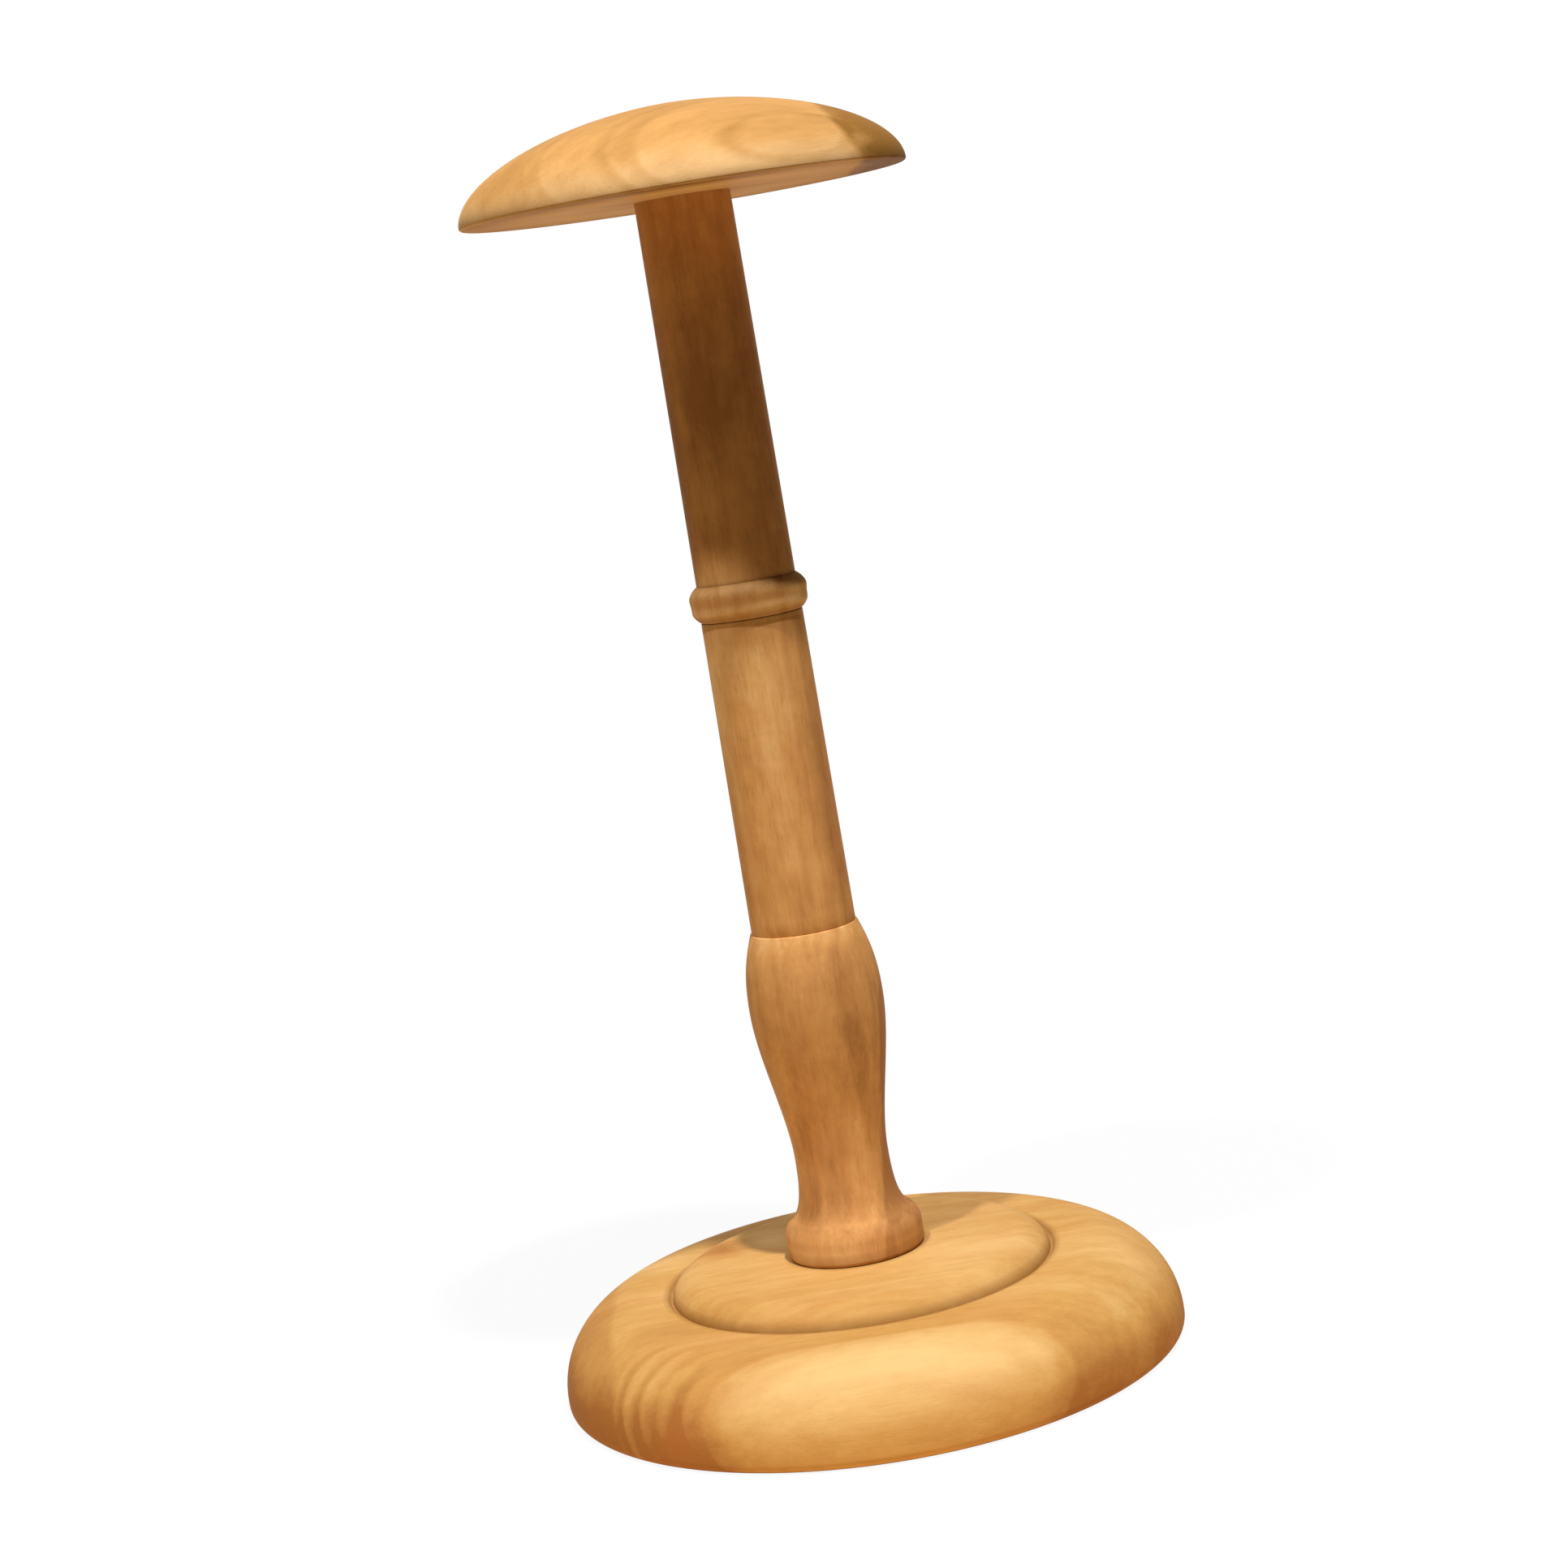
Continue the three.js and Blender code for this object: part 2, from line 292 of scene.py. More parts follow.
def post_levels(stand):
    """Heights of the post's turnings, stacked from the step."""
    post = stand.post
    lip = STEP_TOP + post.foot_height
    neck = lip + post.flare_height
    belly = neck + post.taper_height
    ledge = belly + post.shoulder_height
    bead_foot = ledge + post.lower_length
    return {"lip": lip, "neck": neck, "belly": belly, "ledge": ledge, "bead_foot": bead_foot,
            "bead_top": bead_foot + post.bead_height}


def post_outline(stand):
    post, fixing, levels = stand.post, stand.fixing, post_levels(stand)
    bore = fixing.thread_radius + fixing.clearance
    bore_top = screw_levels(stand)["tip"] + fixing.hole_slack
    spigot_end = STEP_TOP - fixing.foot_spigot_length
    top_end = HEAD_SEAT + fixing.top_spigot_length
    lip = arc(post.foot_radius - post.foot_lip, levels["lip"] - post.foot_lip * math.sin(post.lip_sweep),
              post.foot_lip, 0, math.degrees(post.lip_sweep), steps=14)
    neck = (post.neck_radius, levels["neck"])
    belly = (post.belly_radius, levels["belly"])
    ledge_level, bead_foot, bead_top = levels["ledge"], levels["bead_foot"], levels["bead_top"]
    ledge_corner = (post.ledge_radius, ledge_level)
    ledge = leaning(ledge_corner, -post.ledge_round, -post.shoulder_slope)
    ledge_top = (post.ledge_radius - post.ledge_round, ledge_level)
    half = post.bead_height / 2
    bulge = post.bead_radius - post.bead_root
    curve = (half ** 2 + bulge ** 2) / (2 * bulge)
    sweep = math.degrees(math.asin(half / curve))
    hollow_at, hollow_reach = bead_foot + 0.46 * post.bead_height, 0.28 * post.bead_height
    bead = []
    for r, z in arc(post.bead_radius - curve, bead_foot + half, curve, -sweep, sweep, steps=48):
        inside = min(1.0, abs(z - hollow_at) / hollow_reach)
        bead.append((r - post.bead_hollow * 0.5 * (1 + math.cos(math.pi * inside)), z))
    return outline(
        (0.0, bore_top), (bore, bore_top), (bore, spigot_end),
        (fixing.foot_spigot_radius - fixing.chamfer, spigot_end),
        (fixing.foot_spigot_radius, spigot_end + fixing.chamfer), (fixing.foot_spigot_radius, STEP_TOP),
        low_corner(post.foot_radius, STEP_TOP, post.foot_heel, steps=12), lip,
        bend(lip[-1], leaning(lip[-1], post.flare_lead, -post.lip_sweep),
             (neck[0], neck[1] - post.flare_ease), neck, steps=30),
        bend(neck, (neck[0], neck[1] + post.neck_ease),
             (belly[0], belly[1] - post.belly_ease), belly, steps=40),
        bend(belly, (belly[0], belly[1] + post.shoulder_ease),
             leaning(ledge, -post.shoulder_lead, -post.shoulder_slope), ledge, steps=30),
        bend(ledge, ledge_corner, ledge_corner, ledge_top, steps=6),
        (post.lower_foot - post.ledge_cut, ledge_level),
        shaft((post.lower_foot, ledge_level + 2 * post.ledge_cut), (post.lower_top, bead_foot)),
        bead,
        shaft((post.upper_foot, bead_top), (post.upper_top, HEAD_SEAT)),
        (fixing.top_spigot_radius, HEAD_SEAT), (fixing.top_spigot_radius, top_end - fixing.chamfer),
        (fixing.top_spigot_radius - fixing.chamfer, top_end), (0.0, top_end))


def base_outline(stand):
    base, fixing = stand.base, stand.fixing
    edge = min(base.edge_round, base.thickness - base.floor_round)
    hole = fixing.foot_spigot_radius + fixing.clearance
    hole_floor = STEP_TOP - fixing.foot_spigot_length - fixing.hole_slack
    screw_hole = fixing.shank_radius + fixing.clearance
    counterbore = fixing.washer_radius + fixing.counterbore_clearance
    counterbore_top = screw_levels(stand)["washer_top"]
    quirk_foot = (base.step_radius, base.thickness - base.quirk_depth)
    quirk_edge = (base.step_radius + base.quirk_width, base.thickness)
    quirk_ease = 0.5 * base.quirk_width
    step_side, step_ease = 2.4 * MM, 0.4 * base.step_round
    step_edge = (base.step_radius - base.step_round, STEP_TOP)
    return outline(
        shaft((counterbore, 0.0), (base.radius - base.floor_round, 0.0), spacing=5 * MM),
        low_corner(base.radius, 0.0, base.floor_round, steps=16),
        high_corner(base.radius, base.thickness, edge, steps=56), quirk_edge,
        bend(quirk_edge, (quirk_edge[0] - quirk_ease, quirk_edge[1]),
             (quirk_foot[0] + quirk_ease, quirk_foot[1]), quirk_foot, steps=8),
        bend(quirk_foot, (base.step_radius, quirk_foot[1] + step_side),
             (base.step_radius - step_ease, STEP_TOP), step_edge, steps=24),
        shaft(step_edge, (hole, STEP_TOP), spacing=5 * MM),
        (hole, hole_floor), (screw_hole, hole_floor), (screw_hole, counterbore_top),
        (counterbore, counterbore_top), (counterbore, 0.0))


def screw_levels(stand):
    """Heights of the screw and washer, stacked from the floor."""
    fixing = stand.fixing
    seat = fixing.recess + fixing.head_height
    start = seat + fixing.shank_length
    end = start + fixing.thread_length
    return {"seat": seat, "washer_top": seat + fixing.washer_thickness, "thread_start": start,
            "thread_end": end, "tip": end + fixing.tip_length}


def screw_outline(stand):
    fixing, levels = stand.fixing, screw_levels(stand)
    shank, seat, start = fixing.shank_radius, levels["seat"], levels["thread_start"]
    rows = round(fixing.thread_length / fixing.pitch * THREAD_ROWS)
    step = fixing.thread_length / rows
    thread = [(fixing.core_radius, start + step * i) for i in range(1, rows + 1)]
    return outline(
        (0.0, fixing.recess), low_corner(fixing.head_radius, fixing.recess, fixing.head_round, steps=10),
        (fixing.head_radius, seat), shaft((shank, seat), (shank, start), spacing=MM), thread,
        (0.0, levels["tip"]))


def washer_outline(stand):
    fixing, levels = stand.fixing, screw_levels(stand)
    hole = fixing.shank_radius + fixing.clearance
    low, high = levels["seat"], levels["washer_top"]
    return outline(
        (hole, low), low_corner(fixing.washer_radius, low, fixing.washer_round, steps=5),
        high_corner(fixing.washer_radius, high, fixing.washer_round, steps=5), (hole, high), (hole, low))


# Node trees

def operator(operation, reflected=False):
    """A method that adds a Math node, with its operands the other way round if reflected."""
    def method(flow, other):
        return flow.wiring.maths(operation, *((other, flow) if reflected else (flow, other)))
    return method


class Flow:
    """A socket whose arithmetic adds Math nodes."""

    def __init__(self, wiring, socket):
        self.wiring, self.socket = wiring, socket

    __add__, __radd__ = operator('ADD'), operator('ADD', reflected=True)
    __sub__, __rsub__ = operator('SUBTRACT'), operator('SUBTRACT', reflected=True)
    __mul__, __rmul__ = operator('MULTIPLY'), operator('MULTIPLY', reflected=True)
    __truediv__, __rtruediv__ = operator('DIVIDE'), operator('DIVIDE', reflected=True)
    __pow__ = operator('POWER')


class Wiring:
    """Adds nodes to a tree and joins them."""

    def __init__(self, tree):
        self.tree = tree
        tree.nodes.clear()

    def add(self, kind, settings=None, values=None, output=0):
        """Adds a node of a type: its settings first, then the values or links of its sockets."""
        node = self.tree.nodes.new(kind)
        for name, setting in (settings or {}).items():
            setattr(node, name, setting)
        for name, value in (values or {}).items():
            if isinstance(value, Flow):
                self.tree.links.new(value.socket, node.inputs[name])
            else:
                node.inputs[name].default_value = value
        return Flow(self, node.outputs[output]) if len(node.outputs) else node

    def maths(self, operation, *operands, clamp=False):
        settings = {"operation": operation, "use_clamp": clamp}
        return self.add("ShaderNodeMath", settings, dict(enumerate(operands)))

    def vector(self, operation, first, second=(0.0, 0.0, 0.0)):
        """Vector Math, whose dot product and length come out as a number."""
        output = "Value" if operation in ('DOT_PRODUCT', 'LENGTH') else "Vector"
        return self.add("ShaderNodeVectorMath", {"operation": operation}, {0: first, 1: second}, output)

    def split(self, vector):
        """The three parts of a vector."""
        first = self.add("ShaderNodeSeparateXYZ", values={0: vector})
        return [Flow(self, output) for output in first.socket.node.outputs]

    def combine(self, x, y, z):
        return self.add("ShaderNodeCombineXYZ", values={0: x, 1: y, 2: z})

    def noise(self, place, scale, detail=2.0, roughness=0.5):
        """Noise from 0 to 1, with its place stretched by a scale along each axis."""
        return self.add("ShaderNodeTexNoise", values={
            "Vector": self.vector('MULTIPLY', place, scale), "Scale": 1.0, "Detail": detail,
            "Roughness": roughness})

    def figured(self, place, along, across, detail=2.0, roughness=0.5):
        """Noise that is so many millimetres long along the fibres and wide across them."""
        return self.noise(place, (1 / along, 1 / across, 1 / across), detail, roughness)

    def ramp(self, value, *stops, ease='LINEAR'):
        """A tone from 0 to 1, read off (place, tone) stops with their places from 0 to 1."""
        flow = self.add("ShaderNodeValToRGB", values={0: value})
        ramp = flow.socket.node.color_ramp
        ramp.interpolation = ease
        while len(ramp.elements) < len(stops):
            ramp.elements.new(0.5)
        for stop, (place, tone) in zip(ramp.elements, stops):
            stop.position = place
            stop.color = (tone, tone, tone, 1.0)
        return flow

    def profile(self, value, stops, ease='LINEAR'):
        """A tone read off (place, tone) stops, with the places in the unit of the value."""
        low, high = stops[0][0], stops[-1][0]
        return self.ramp((value - low) / (high - low),
                         *(((place - low) / (high - low), tone) for place, tone in stops), ease=ease)

    def pocket(self, place, centre, reach):
        """1 at a point, easing to 0 at its reach along each axis. Lengths are in millimetres."""
        offset = self.vector('SUBTRACT', place, tuple(part * MM for part in centre))
        share = self.vector('MULTIPLY', offset, tuple(1 / (part * MM) for part in reach))
        return self.ramp(self.vector('LENGTH', share), (0.0, 1.0), (1.0, 0.0), ease='EASE')

    def mix(self, first, second, factor):
        """A colour between two, by a factor."""
        return self.add("ShaderNodeMix", {"data_type": 'RGBA'}, {0: factor, 6: first, 7: second}, output=2)

    def blend(self, first, second, factor):
        """A shader between two, by a factor."""
        return self.add("ShaderNodeMixShader", values={0: factor, 1: first, 2: second})

    def shade(self, colours, tone):
        """A colour from a light, a middle and a dark one, by a tone from 0 to 1."""
        light, middle, dark = colours
        first = self.mix(light, middle, self.maths('MULTIPLY', tone, 2.0, clamp=True))
        return self.mix(first, dark, self.maths('MULTIPLY_ADD', tone, 2.0, -1.0, clamp=True))


MERGE_DISTANCE = 2e-7
THREAD_FADE = 6  # the ridge fades over the last sixth of the thread
SHARP_ANGLE = math.radians(40)


def turning_tree(name, threaded):
    """Turns an outline mesh round the upright axis.

    A threaded one also raises a helical ridge and cuts a slot.
    """
    tree = bpy.data.node_groups.new(name, "GeometryNodeTree")
    w = Wiring(tree)
    sockets = [("Outline", "NodeSocketGeometry"), ("Steps Round", "NodeSocketInt"),
               ("Sharp Angle", "NodeSocketFloat"), ("Material", "NodeSocketMaterial")]
    if threaded:
        sockets += [(title, "NodeSocketFloat") for title in (
            "Thread Start", "Thread End", "Pitch", "Ridge",
            "Slot Length", "Slot Width", "Slot Depth", "Slot Level")]
    for title, kind in sockets:
        tree.interface.new_socket(name=title, in_out='INPUT', socket_type=kind)
    tree.interface.new_socket(name="Geometry", in_out='OUTPUT', socket_type="NodeSocketGeometry")
    given = tree.nodes.new("NodeGroupInput")
    inputs = {title: Flow(w, given.outputs[title]) for title, _ in sockets}

    rows = w.add("GeometryNodeAttributeDomainSize", {"component": 'MESH'}, {0: inputs["Outline"]})
    columns = inputs["Steps Round"] + 1
    sheet = w.add("GeometryNodeMeshGrid", values={"Vertices X": rows, "Vertices Y": columns})
    index = w.add("GeometryNodeInputIndex")
    row = w.maths('FLOOR', (index + 0.5) / columns)
    column = index - row * columns
    place = w.add("GeometryNodeInputPosition")
    on_outline = w.add("GeometryNodeSampleIndex", {"data_type": 'FLOAT_VECTOR', "domain": 'POINT'}, {
        "Geometry": inputs["Outline"], "Value": place, "Index": row})
    radius, _, height = w.split(on_outline)
    turn = column / inputs["Steps Round"]
    if threaded:
        start, end = inputs["Thread Start"], inputs["Thread End"]
        turns = (height - start) / inputs["Pitch"] - turn
        tooth = 1 - w.maths('ABSOLUTE', w.maths('FRACT', turns) * 2 - 1)
        fade = w.maths('MINIMUM', (end - height) / (end - start) * THREAD_FADE, 1.0)
        inside = w.maths('GREATER_THAN', height, start) * w.maths('LESS_THAN', height, end)
        radius = radius + tooth * fade * inside * inputs["Ridge"]
    sweep = turn * math.tau
    x = radius * w.maths('COSINE', sweep)
    y = radius * w.maths('SINE', sweep)
    turned = w.add("GeometryNodeSetPosition", values={
        "Geometry": sheet, "Position": w.combine(x, y, height)})
    closed = w.add("GeometryNodeMergeByDistance", values={"Geometry": turned, "Distance": MERGE_DISTANCE})
    closed = w.add("GeometryNodeFlipFaces", values={"Mesh": closed})  # so that they point outwards
    if threaded:
        size = w.combine(inputs["Slot Length"], inputs["Slot Width"], inputs["Slot Depth"] * 2)
        blade = w.add("GeometryNodeMeshCube", values={"Size": size})
        blade = w.add("GeometryNodeTransform", values={
            "Geometry": blade, "Translation": w.combine(0.0, 0.0, inputs["Slot Level"])})
        closed = w.add("GeometryNodeMeshBoolean", {"operation": 'DIFFERENCE', "solver": 'EXACT'}, {
            "Mesh 1": closed, "Mesh 2": blade})
    smooth = w.add("GeometryNodeSetShadeSmooth", {"domain": 'FACE'}, {"Geometry": closed})
    fold = w.add("GeometryNodeInputMeshEdgeAngle")
    sharp = w.maths('GREATER_THAN', fold, inputs["Sharp Angle"])
    crisp = w.add("GeometryNodeSetShadeSmooth", {"domain": 'EDGE'}, {
        "Geometry": smooth, "Selection": sharp, "Shade Smooth": False})
    whole = w.add("GeometryNodeRealizeInstances", values={"Geometry": crisp})
    finished = w.add("GeometryNodeSetMaterial", values={"Geometry": whole, "Material": inputs["Material"]})
    w.add("NodeGroupOutput", values={"Geometry": finished})
    return tree


def turned_piece(name, line, material, threaded=False, **inputs):
    """Turns an outline into a plain mesh object, with its place in its mesh."""
    tree = turning_tree(name, threaded)
    mesh = bpy.data.meshes.new(name)
    mesh.from_pydata([(r, 0.0, z) for r, z in line], [(i, i + 1) for i in range(len(line) - 1)], [])
    piece = bpy.data.objects.new(name, mesh)
    bpy.context.scene.collection.objects.link(piece)
    modifier = piece.modifiers.new("Turning", 'NODES')
    modifier.node_group = tree
    values = {"Sharp Angle": SHARP_ANGLE, "Material": material}
    values.update({title.replace("_", " ").title(): value for title, value in inputs.items()})
    for socket in tree.interface.items_tree:
        if socket.in_out == 'INPUT' and socket.name in values:
            modifier[socket.identifier] = values[socket.name]
    evaluated = piece.evaluated_get(bpy.context.evaluated_depsgraph_get())
    result = bpy.data.meshes.new_from_object(evaluated)
    piece.modifiers.remove(modifier)
    piece.data = result
    bpy.data.meshes.remove(mesh)
    result.name = name
    if not result.polygons:
        raise RuntimeError(f"{name} came out empty")
    return piece


def dress(piece, node):
    """Lets a finished piece stand for a CAD node."""
    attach(piece, "root")
    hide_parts(node)


# Materials

@dataclass
class Figure:
    """How a piece was cut from the tree, and the light and shade painted on it. Lengths are in millimetres.
    """

    fibre: tuple  # direction of the fibres
    outward: tuple  # direction across the growth rings, away from the pith
    curve: float  # radius of the growth rings
    centre: float  # where along the third direction the rings are squarest to outward
    bands: tuple  # (place along outward, tone) of the broad bands of colour, which on the post and the base also paint light and shade
    rings: tuple  # (place along outward, width, depth) of the bold rings
    clear: tuple  # (place along the fibres, strength) of the bold rings
    heart: tuple  # (direction, ((place along it, tone), ...)) of a corner of darker wood
    light_and_shade_by_height: tuple  # (height, tone) of light and shade painted along the height
    light_shade_and_wood_patches: tuple  # (centre, reach along each axis, tone) of soft patches of painted light and shade, and of darker or paler wood
    spacing: float  # usual width of the fine rings
    ring_depth: float  # how dark the fine rings are, and below it the other marks
    streak_depth: float  # along the fibres
    mottle_depth: float
    ripple_depth: float  # across the fibres
    pore_depth: float
    seed: float
    turned_about: str  # 'HEIGHT' where the tool ran along the axis, 'RADIUS' where it ran across
    underside: tuple = ()  # (distance from the axis, tone) of shade painted on a face that looks down


HEAD_FIGURE = Figure(
    fibre=(0.843, 0.538, 0), outward=(0.379, -0.587, 0.715), curve=420, centre=-194,
    bands=((190, 0.14), (222, 0.12), (238, 0.17), (248, 0.23), (253.6, 0.22), (256.4, 0.16), (265.6, 0.15),
           (267.6, 0.18), (270.2, 0.17), (272.4, 0.1), (277.8, 0.13), (280.4, 0.2), (281.2, 0.24),
           (283, 0.32)),
    rings=((255.2, 2.4, 0.06), (267.3, 2.6, 0.11), (271, 2.6, 0.1), (280.2, 1.3, 0.34)),
    clear=((-70, 1), (70, 1)),
    heart=((0.9, 0, 0.436), ((185.6, 0), (187.4, 0.36), (190.2, 0.48), (194.5, 0.68), (199, 0.9))),
    # Light painted by height: the dome paler low down, darker towards its top
    light_and_shade_by_height=((330, 0), (333.2, 0), (335.5, 0.1), (338.4, 0.25), (342, 0.36), (348, 0.46), (355, 0.5)),
    # Shade painted on the underside, darker towards the rim
    underside=((0, 0), (38, 0), (48, 0.14), (56, 0.34), (60.4, 0.38), (60.7, 0.04), (61.3, 0)),
    # Patches darker near the dark corner and on the left of the dome, and shade painted along the front of
    # the rim
    light_shade_and_wood_patches=(((56, -18, 333), (14, 26, 6), 0.4), ((50, -37, 332), (9, 15, 5), 0.34),
             ((-47, -26, 335), (28, 34, 11), 0.2), ((0, -58, 329.6), (78, 26, 1.4), 0.5)),
    spacing=4, ring_depth=0.3, streak_depth=0.14, mottle_depth=0.22, ripple_depth=0, pore_depth=0.08,
    seed=3, turned_about='HEIGHT')
POST_FIGURE = Figure(
    fibre=(0, 0, 1), outward=(0.995, -0.1, 0), curve=90, centre=0,
    # Bands across the post, which also paint light and shade on its sides
    bands=((-20, 0.36), (-16.4, 0.2), (-14.8, 0.1), (-11, 0.08), (-8, 0.16), (-6.4, 0.19), (-5, 0.19),
           (1, 0.18), (8, 0.18), (11.2, 0.28), (12.6, 0.22), (14.4, 0.06), (16.4, 0.14), (20, 0.36)),
    rings=((-6, 2, 0.1), (10.6, 2.4, 0.2), (14.4, 2, 0.1)),
    clear=((0, 1), (400, 1)),
    heart=((1, 0, -0.14), ((2.4, 0), (3.5, 0.44), (6.2, 0.58), (10.2, 0.46), (14.2, 0.36))),
    # Light and shade painted by height: tones that even out the lamps' shading on the foot and vase, a pale
    # line along the ledge, light and dark bands on the bead, and the head's shadow on the upper shaft
    light_and_shade_by_height=((32, 0), (36.5, 0), (39.5, 0.1), (43, 0.34), (50, 0.43), (62, 0.4), (76, 0.4), (100, 0.58),
             (116, 0.54), (121, 0.47), (124.6, 0.22), (126, 0.2), (126.6, 0.36), (140, 0.36), (156, 0.24),
             (204, 0.22), (209, 0.34), (213, 0.34), (214.5, 0.06), (217.6, 0.04), (219.4, 0.4), (221.6, 0.4),
             (223, 0.18), (225, 0.3), (228.5, 0.52), (236, 0.64), (250, 0.58), (300, 0.52), (316, 0.42),
             (330, 0.32)),
    # Light and shade painted in patches: paler pools round the bead, darker sides and fronts on the shafts,
    # and a darker left side of the foot
    light_shade_and_wood_patches=(((-8, -11, 228), (9, 14, 10), -0.26), ((-7, -12, 249), (6, 12, 16), -0.2),
             ((-2, -13.5, 281), (8, 12, 30), 0.34), ((12, -9, 220.4), (9, 12, 8), -0.4),
             ((13, -6, 168), (5, 14, 74), 0.6), ((-14.5, -10, 47), (8, 11, 15), 0.6),
             ((-13.5, -3, 272), (4.5, 12, 66), 0.45), ((-14.5, -3, 160), (3.6, 12, 44), 0.35),
             ((-9, -10, 208), (8, 12, 12), -0.22), ((11, -9, 236), (7, 10, 14), -0.16),
             ((0, -14, 138), (6, 12, 11), 0.2)),
    spacing=3.4, ring_depth=0.4, streak_depth=0.34, mottle_depth=0.56, ripple_depth=0.12, pore_depth=0.22,
    seed=11, turned_about='HEIGHT')
BASE_FIGURE = Figure(
    fibre=(0.9998, 0.02, 0), outward=(0.02, -1, 0.5), curve=400, centre=-18,
    # Bands of the rings, whose pale band along the front round is partly a painted highlight
    bands=((-71, 0.4), (-42, 0.52), (-13, 0.42), (9, 0.44), (31, 0.4), (45, 0.5), (48.8, 0.42), (54, 0.35),
           (57.5, 0.46), (63, 0.54), (69.4, 0.55), (71.8, 0.32), (75, 0.12), (80, 0.03), (84, 0.05)),
    rings=((50.7, 2.6, 0.2), (56, 3.2, 0.24), (61, 3.2, 0.1), (66.2, 3.2, 0.32)),
    clear=((-76, 1), (-52, 1), (-40, 0.4), (-15, 0.1), (90, 0.06)),
    heart=((-1, 0, 0), ((69.8, 0), (72.2, 0.2), (78, 0.22), (86, 0.3))),
    # Shade painted by height, darker down the side towards the floor
    light_and_shade_by_height=((0, 0.54), (8, 0.42), (14, 0.18), (19, 0), (33, 0)),
    # Light and shade painted in patches: the shadow left of the foot paler in its middle and darker at its
    # outer edge, and parts of the top and sides made paler, one darker
    light_shade_and_wood_patches=(((32, -25, 32.5), (42, 32, 8), -0.22), ((-25, 21, 32.5), (13, 15, 8), -0.34),
             ((-38, 20, 32.5), (12, 12, 8), 0.5), ((-58, 38, 26), (22, 18, 10), -0.2),
             ((-54, -32, 27), (24, 20, 8), 0.2), ((-52, 2, 30), (14, 12, 8), -0.16),
             ((74, -20, 21), (30, 42, 16), -0.16)),
    spacing=4.7, ring_depth=0.14, streak_depth=0.24, mottle_depth=0.3, ripple_depth=0.05, pore_depth=0.08,
    seed=23, turned_about='RADIUS')

# What all three woods share, with lengths in millimetres
SEED_STEP = 97  # how far apart two seeds lie along the fibres
SWAY, FLUTTER = 3.2, 1.3  # how far the rings stray, slowly and quickly
RING_REACH = 8  # how far before the first bold ring its profile starts
END_GRAIN, SIDE_GRAIN = 1.7, 0.13  # how strong the bold rings are across and along the fibres
LATE_WOOD, RING_END = 5, 30  # how late in a fine ring it darkens, and how suddenly it ends
FIBRE_DEPTH = 0.16
ROSY = (1.35, 1.1, 1.2)  # the rosy patches, as shares of the darkest wood
TOOL_MARKS = 1900.0  # marks of the lathe in a metre
WOOD_RELIEF, STEEL_RELIEF = 0.12 * MM, 0.04 * MM

DULL = (0.55, 0.55, 0.55)  # the dull patches, as shares of the steel's colour
SCRATCHED = (0.82, 0.8, 0.74, 1.0)

SPECKLE = (0.96, 0.96, 0.96)  # the specks, as shares of the floor's colour
SHADED = (0.97, 0.97, 0.97, 1.0)
FLOOR_REACH = 6.0
SHADOW_FADE = ((0.12, 1.0), (0.55, 0.0))  # (distance in metres, strength) of the stand's shadow
FAR_FADE = ((0.32, 0.0), (0.46, 1.0))  # (distance in metres, share) of the darker floor


def new_material(name):
    material = bpy.data.materials.new(name)
    material.use_nodes = True
    return material, Wiring(material.node_tree)


def scaled(given, shares):
    """A colour with its red, green and blue multiplied by shares."""
    return (*(min(1.0, part * share) for part, share in zip(given, shares)), 1.0)


